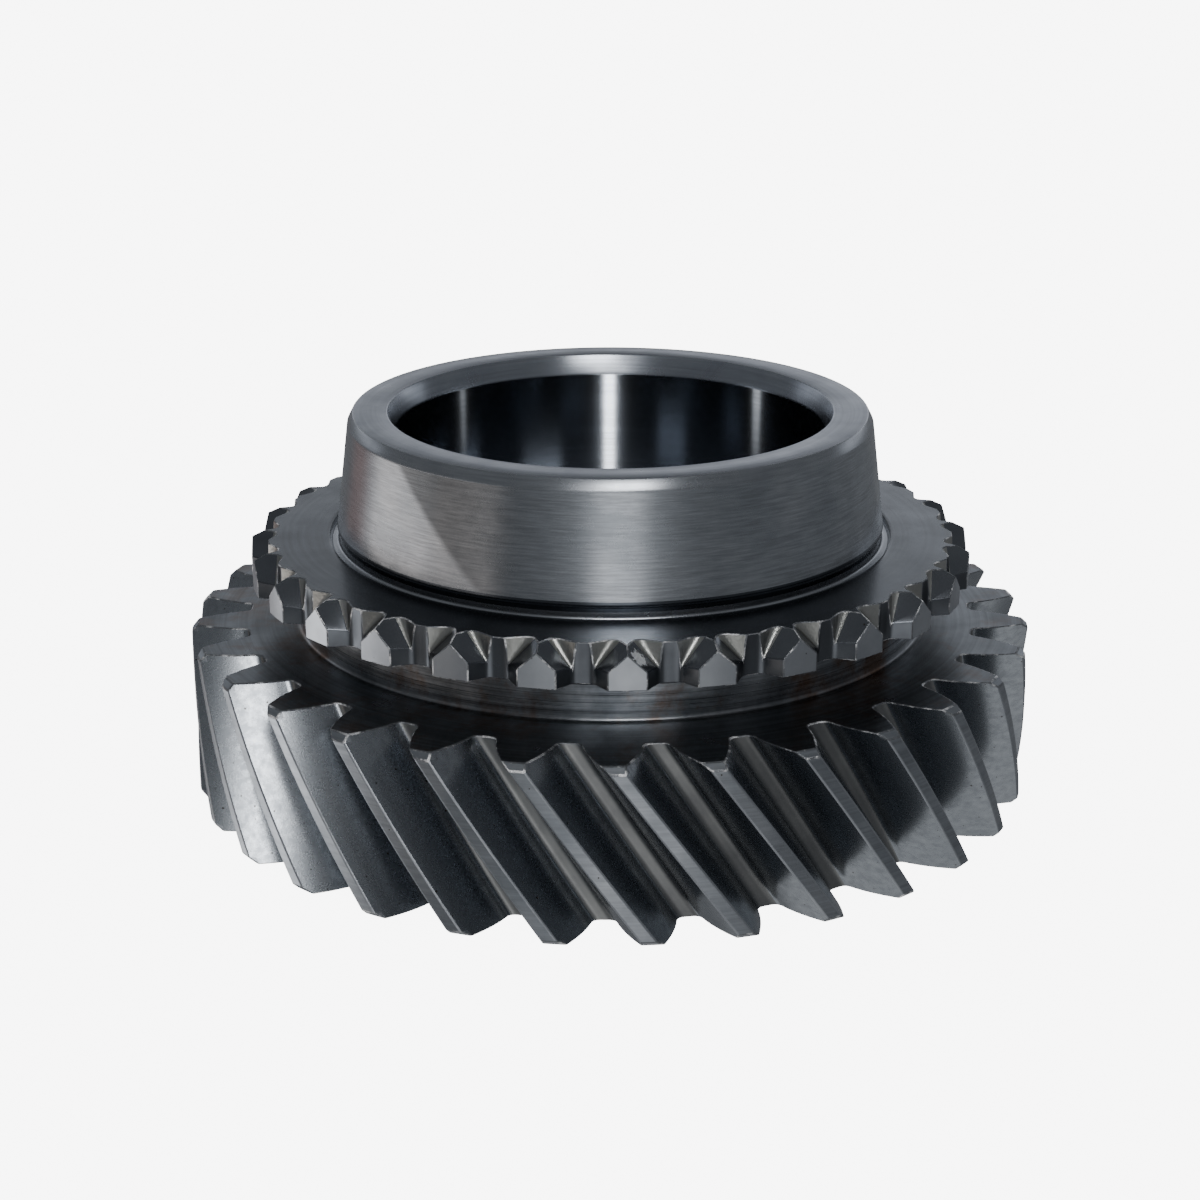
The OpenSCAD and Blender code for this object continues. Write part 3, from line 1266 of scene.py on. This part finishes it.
    def paint_cone_shade(self, tree: bpy.types.NodeTree, place: bpy.types.NodeSocket) -> bpy.types.NodeSocket:
        """Makes painted shade on the left of the cone, which ends at a slanting edge.

        Args:
            tree: Node tree of the material.
            place: Object coordinates.

        Returns:
            A factor for the colour, 1 where no shade is painted.
        """
        parts = put(tree, "ShaderNodeSeparateXYZ", {"Vector": place}).outputs
        front = put(tree, "ShaderNodeMath", {0: parts["Y"], 1: -1.0}, operation="MULTIPLY").outputs[0]
        angle = put(tree, "ShaderNodeMath", {0: parts["X"], 1: front}, operation="ARCTAN2").outputs[0]
        slant = math.radians(CONE_SHADE_SLANT) / MM
        lean = put(
            tree, "ShaderNodeMath", {0: parts["Z"], 1: slant, 2: angle}, operation="MULTIPLY_ADD"
        ).outputs[0]
        start = math.radians(CONE_SHADE_START) + math.radians(CONE_SHADE_SLANT) * CONE_SHADE_FOOT
        edge = put(
            tree,
            "ShaderNodeMapRange",
            {"Value": lean, "From Min": start, "From Max": start + math.radians(CONE_SHADE_EDGE)},
            interpolation_type="SMOOTHSTEP",
        ).outputs["Result"]
        fade = put(
            tree,
            "ShaderNodeMapRange",
            {
                "Value": angle,
                "From Min": math.radians(CONE_SHADE_FULL),
                "From Max": math.radians(CONE_SHADE_GONE),
                "To Min": 1.0,
                "To Max": 0.0,
            },
            interpolation_type="SMOOTHSTEP",
        ).outputs["Result"]
        painted_shade = put(tree, "ShaderNodeMath", {0: edge, 1: fade}, operation="MULTIPLY").outputs[0]
        return put(
            tree, "ShaderNodeMath", {0: painted_shade, 1: -CONE_SHADE_DARK, 2: 1.0}, operation="MULTIPLY_ADD"
        ).outputs[0]

    def oil(self, tree: bpy.types.NodeTree, place: bpy.types.NodeSocket) -> bpy.types.NodeSocket:
        """Makes broad stains of old oil.

        Args:
            tree: Node tree of the material.
            place: Object coordinates.

        Returns:
            A share, 0 where the steel is clean.
        """
        cloud = put(
            tree,
            "ShaderNodeTexNoise",
            {"Vector": place, "Scale": 1 / (STAIN_SIZE * MM), "Detail": 5.0, "Roughness": 0.7},
        ).outputs["Fac"]
        low, high = STAIN_RANGE
        return put(
            tree,
            "ShaderNodeMapRange",
            {"Value": cloud, "From Min": low, "From Max": high, "To Min": 0.0, "To Max": self.stain},
        ).outputs["Result"]


# All are one case-hardened steel, dark and slightly blue. Each comment says what the eye gets.
FINISHES: dict[Zone, SteelFinish] = {
    # Fine lines along the lands on a dull even grey.
    Zone.TIP: SteelFinish(
        "steel turned tooth tips", "a6aaaf", "8c9197", 0.38, line_pitch=0.28, drift=2.0,
        line_depth=0.004, line_tone=0.15, pits=0.25,
    ),
    # A soft sheen without lines, peppered with fine rust pits.
    Zone.FLANK: SteelFinish(
        "steel shaved tooth flanks", "a0a5aa", "8a8f95", 0.27, swing=0.04, lines=Lines.NONE,
        line_pitch=0.2, line_depth=0.005, pits=0.38, blotch=0.8,
    ),
    # Duller and a little browner than the flanks.
    Zone.ROOT: SteelFinish("steel hobbed tooth roots", "929392", "7b7c7d", 0.38, lines=Lines.NONE),
    # Faint rings, darkened and browned by old oil.
    Zone.GEAR_FACE: SteelFinish(
        "steel turned gear face", "8b9096", "6e7379", 0.3, line_tone=0.25, stain=0.5
    ),
    # Strong rings that catch the light, with stains.
    Zone.NECK: SteelFinish(
        "steel turned neck", "9b9ea2", "666a6f", 0.33, drift=2.0, line_depth=0.012, line_tone=0.4,
        anisotropy=0.5, stain=0.7,
    ),
    # Light and matt, so that each tooth front stands out from its dark roof.
    Zone.DOG_FACE: SteelFinish(
        "steel turned dog tooth faces", "b0b4b9", "9da1a7", 0.38, lines=Lines.NONE, pits=0.3
    ),
    # Dark and rather glossy, with one fresh chip on the front tooth.
    Zone.DOG_ROOF: SteelFinish(
        "steel milled dog tooth roofs", "7c8085", "6a6d73", 0.22, lines=Lines.NONE, pits=0.05,
        nick=(2.5, -36.2, 25.6),
    ),
    # Warm grey and slightly torn, where the cutter ran out.
    Zone.DOG_WALL: SteelFinish(
        "steel milled walls", "b0b1ae", "8e8f8b", 0.32, lines=Lines.NONE, line_pitch=0.3,
        line_depth=0.03,
    ),
    # Dark, plain and even.
    Zone.DOG_SIDE: SteelFinish(
        "steel shaped dog tooth sides", "686c71", "585b60", 0.3, lines=Lines.NONE, pits=0.04
    ),
    # Fine rings, nearly black with oil.
    Zone.RING_TOP: SteelFinish("steel turned ring face", "62676d", "53585e", 0.23),
    # A dark glossy undercut.
    Zone.GROOVE: SteelFinish("steel turned relief groove", "565b61", "474b51", 0.2, line_tone=0.05),
    # Bright, with fine broken lines, a sheen drawn out up the cone and painted shade on its left.
    Zone.CONE: SteelFinish(
        "steel ground cone", "aaaeb3", "989da3", 0.26, line_pitch=0.22, drift=8.0, line_tone=0.18,
        line_depth=0.009, anisotropy=0.5, painted_shade=True,
    ),
    # Bright, with a highlight that runs along the edge.
    Zone.CONE_RIM: SteelFinish(
        "steel turned cone chamfer", "aaaeb3", "9a9ea4", 0.27, drift=4.0, anisotropy=0.5
    ),
    # Even and satin.
    Zone.TOP_FACE: SteelFinish("steel ground top face", "a2a7ae", "9297a0", 0.3),
    # Satin, with its sheen across the turning lines.
    Zone.LEAD_IN: SteelFinish("steel turned lead-in", "a2a7ae", "9297a0", 0.26, anisotropy=0.5),
    # Nearly a mirror, so that lamps become upright lines in it.
    Zone.BORE: SteelFinish(
        "steel honed bore", "9a9fa6", "8e939a", 0.13, swing=0.01, blotch=9.0, line_depth=0.001,
        anisotropy=0.7,
    ),
    # Plain satin rings.
    Zone.HUB_FACE: SteelFinish("steel turned hub face", "8a8f96", "767b82", 0.34),
    # Broken bright glints along the nicked corners.
    Zone.EDGE: SteelFinish(
        "steel worn bright edges", "85888c", "ffffff", 0.5, lines=Lines.NONE, line_pitch=0.16,
        line_depth=0.08, blotch=1.5, patchy=True,
    ),
    # An even, slightly lighter line along each land.
    Zone.TOOTH_EDGE: SteelFinish(
        "steel deburred tooth edges", "b2b6bb", "9a9ea4", 0.42, lines=Lines.NONE, line_pitch=0.3,
        line_depth=0.01,
    ),
}


@dataclass(frozen=True)
class Card:
    """One soft-edged bright card of the surroundings, as the polished steel sees it.

    Angles are in degrees. Azimuth 0 looks out towards -Y, where the camera stands, and 90 towards
    +X. Width and height are the half angles at which the card has faded to half its power.
    """

    azimuth: float
    elevation: float
    width: float
    height: float
    soft: float
    power: float
    colour: str = "ffffff"

    def light(self, tree: bpy.types.NodeTree, ray: bpy.types.NodeSocket) -> bpy.types.NodeSocket:
        """Adds the nodes of this card.

        Args:
            tree: Node tree of the world.
            ray: Direction in which a ray leaves the scene.

        Returns:
            The light of the card in that direction.
        """
        turn = math.radians(self.azimuth)
        axes = (
            (math.sin(turn), -math.cos(turn), 0.0),
            (math.cos(turn), math.sin(turn), 0.0),
            (0.0, 0.0, 1.0),
        )
        ahead, aside, upward = (
            put(tree, "ShaderNodeVectorMath", {0: ray, 1: axis}, operation="DOT_PRODUCT").outputs["Value"]
            for axis in axes
        )
        across = put(tree, "ShaderNodeMath", {0: aside, 1: ahead}, operation="ARCTAN2").outputs[0]
        lift = put(tree, "ShaderNodeMath", {0: upward}, operation="ARCSINE").outputs[0]
        centre = math.radians(self.elevation)
        rise = put(tree, "ShaderNodeMath", {0: lift, 1: centre}, operation="SUBTRACT").outputs[0]
        shares = []
        for angle, half in ((across, self.width), (rise, self.height)):
            off = put(tree, "ShaderNodeMath", {0: angle}, operation="ABSOLUTE").outputs[0]
            share = put(
                tree,
                "ShaderNodeMapRange",
                {
                    "Value": off,
                    "From Min": math.radians(half - self.soft / 2),
                    "From Max": math.radians(half + self.soft / 2),
                    "To Min": 1.0,
                    "To Max": 0.0,
                },
                interpolation_type="SMOOTHSTEP",
            ).outputs["Result"]
            shares.append(share)
        both = put(tree, "ShaderNodeMath", {0: shares[0], 1: shares[1]}, operation="MULTIPLY").outputs[0]
        strength = put(tree, "ShaderNodeMath", {0: both, 1: self.power}, operation="MULTIPLY").outputs[0]
        return put(
            tree, "ShaderNodeVectorMath", {0: linear(self.colour)[:3], "Scale": strength}, operation="SCALE"
        ).outputs[0]


@dataclass
class Studio:
    """White backdrop and floor, the cards that the steel reflects, the strips in the bore, the camera.

    The floor and the aim are in metres, the strips and the camera in millimetres and degrees.
    """

    floor_size: float = 6.0
    floor_gap: float = 0.0001
    floor_colour: str = "f7f7f7"
    floor_roughness: float = 0.9
    white: float = 8.0
    surround: str = "75777a"
    strip_r: float = 21.4
    strip_middle: float = 20.0
    strip_height: float = 32
    strip_aim: float = 0.01
    lens: float = 73.86
    sensor: float = 36.0
    eye: tuple[float, float, float] = (-1.05, -244.43, 103.585)
    tilt: float = 70.812
    # Four in front and high, two in front and low, three on the left, two behind, one from below.
    cards: tuple[Card, ...] = (
        Card(8, 41, 12, 5, 9, 13.0),
        Card(3, 38, 21, 5, 12, 1.4),
        Card(0, 27, 10, 4, 8, 3.5),
        Card(2, 15, 22, 8, 14, 0.25),
        Card(3, -5, 10, 6, 10, 1.8),
        Card(3, -22, 24, 8, 22, 1.1),
        Card(-102, -23, 22, 9, 12, 2.8),
        Card(-82, -9, 34, 5, 8, 1.3, "fff2e8"),
        Card(-132, -12, 10, 6, 8, 0.16, "ffa890"),
        Card(180, 12, 60, 5, 8, 0.75, "f2f6ff"),
        Card(165, 14, 14, 5, 10, 0.3, "f2f6ff"),
        Card(0, -72, 180, 18, 12, 0.4),
    )

    def floor(self) -> None:
        """Lays the floor just under the plane that the gear stands on."""
        bm = bmesh.new()
        bmesh.ops.create_grid(bm, x_segments=1, y_segments=1, size=self.floor_size)
        mesh = bpy.data.meshes.new("floor")
        bm.to_mesh(mesh)
        bm.free()
        floor = bpy.data.objects.new("floor", mesh)
        floor.location.z = -self.floor_gap
        bpy.context.scene.collection.objects.link(floor)
        material = bpy.data.materials.new("matt white paper")
        material.use_nodes = True
        tree = material.node_tree
        tree.nodes.clear()
        shader = put(
            tree,
            "ShaderNodeBsdfPrincipled",
            {
                "Base Color": linear(self.floor_colour),
                "Roughness": self.floor_roughness,
                "Emission Color": linear(self.floor_colour),
                "Emission Strength": self.white,
            },
        )
        put(tree, "ShaderNodeOutputMaterial", {"Surface": shader.outputs["BSDF"]})
        mesh.materials.append(material)
        floor.visible_glossy = False

    def surroundings(self) -> None:
        """Builds the world: white to the camera, with the cards for the reflections."""
        world = bpy.data.worlds.new("studio")
        bpy.context.scene.world = world
        world.use_nodes = True
        tree = world.node_tree
        tree.nodes.clear()
        ray = put(tree, "ShaderNodeTexCoord").outputs["Generated"]
        total = put(tree, "ShaderNodeVectorMath", {0: linear(self.surround)[:3]}, operation="ADD").outputs[0]
        for card in self.cards:
            total = put(
                tree, "ShaderNodeVectorMath", {0: total, 1: card.light(tree, ray)}, operation="ADD"
            ).outputs[0]
        inner = put(tree, "ShaderNodeBackground", {"Color": total, "Strength": 1.0}).outputs[0]
        outer = put(
            tree, "ShaderNodeBackground", {"Color": linear("ffffff"), "Strength": self.white}
        ).outputs[0]
        seen = put(tree, "ShaderNodeLightPath").outputs["Is Camera Ray"]
        mixed = put(tree, "ShaderNodeMixShader", {0: seen, 1: inner, 2: outer}).outputs[0]
        put(tree, "ShaderNodeOutputWorld", {"Surface": mixed})

    def lamp(
        self, name: str, place: Vector, aim: Vector, size: tuple[float, float], power: float, spread: float
    ) -> None:
        """Hangs a rectangular lamp with a grid that narrows its beam.

        Args:
            name: Name of the lamp.
            place: Where it hangs, in metres.
            aim: Point that it faces, in metres.
            size: Width and height, in metres.
            power: Radiant power, in watts.
            spread: Full angle of the beam, in degrees.
        """
        data = bpy.data.lights.new(name, "AREA")
        data.shape = "RECTANGLE"
        data.size, data.size_y = size
        data.energy = power
        data.spread = math.radians(spread)
        lamp = bpy.data.objects.new(name, data)
        lamp.location = place
        lamp.rotation_euler = (aim - place).to_track_quat("-Z", "Y").to_euler()
        bpy.context.scene.collection.objects.link(lamp)

    def bore_strips(self) -> None:
        """Stands thin strip lights by the wall of the bore, for the bright lines opposite them."""
        for name, degrees, facing, width, power, spread in (
            ("bore_centre", 0.5, 180.0, 3.0, 0.00042, 62.0),
            ("bore_left", 227.5, 90.0, 2.4, 0.000027, 30.0),
            ("bore_right", 132.5, 270.0, 1.4, 0.000009, 30.0),
        ):
            place = polar(self.strip_r, degrees - 90, self.strip_middle) * MM
            aim = place + polar(self.strip_aim, facing - 90)
            self.lamp(name, place, aim, (width * MM, self.strip_height * MM), power, spread)

    def camera(self) -> None:
        """Places the camera where the photograph was taken from."""
        data = bpy.data.cameras.new("camera")
        data.lens = self.lens
        data.sensor_width = self.sensor
        data.clip_start = 0.01
        data.clip_end = 20.0
        camera = bpy.data.objects.new("camera", data)
        camera.location = tuple(value * MM for value in self.eye)
        camera.rotation_euler = (math.radians(self.tilt), 0.0, 0.0)
        bpy.context.scene.collection.objects.link(camera)
        bpy.context.scene.camera = camera

    def build(self) -> None:
        """Sets up everything round the gear."""
        self.floor()
        self.surroundings()
        self.bore_strips()
        self.camera()


def main() -> None:
    """Builds the gear and the studio."""
    logging.basicConfig(level=logging.INFO)
    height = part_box("gear")[1].z / MM
    gear = SpeedGear("speed_gear", height)
    piece = gear.build()
    for zone in Zone:
        piece.data.materials.append(FINISHES[zone].material())
    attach(piece, "root")
    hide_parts("gear")
    LOG.info("%s: %d triangles", piece.name, sum(len(p.vertices) - 2 for p in piece.data.polygons))
    Studio().build()


if __name__ == "__main__":
    main()
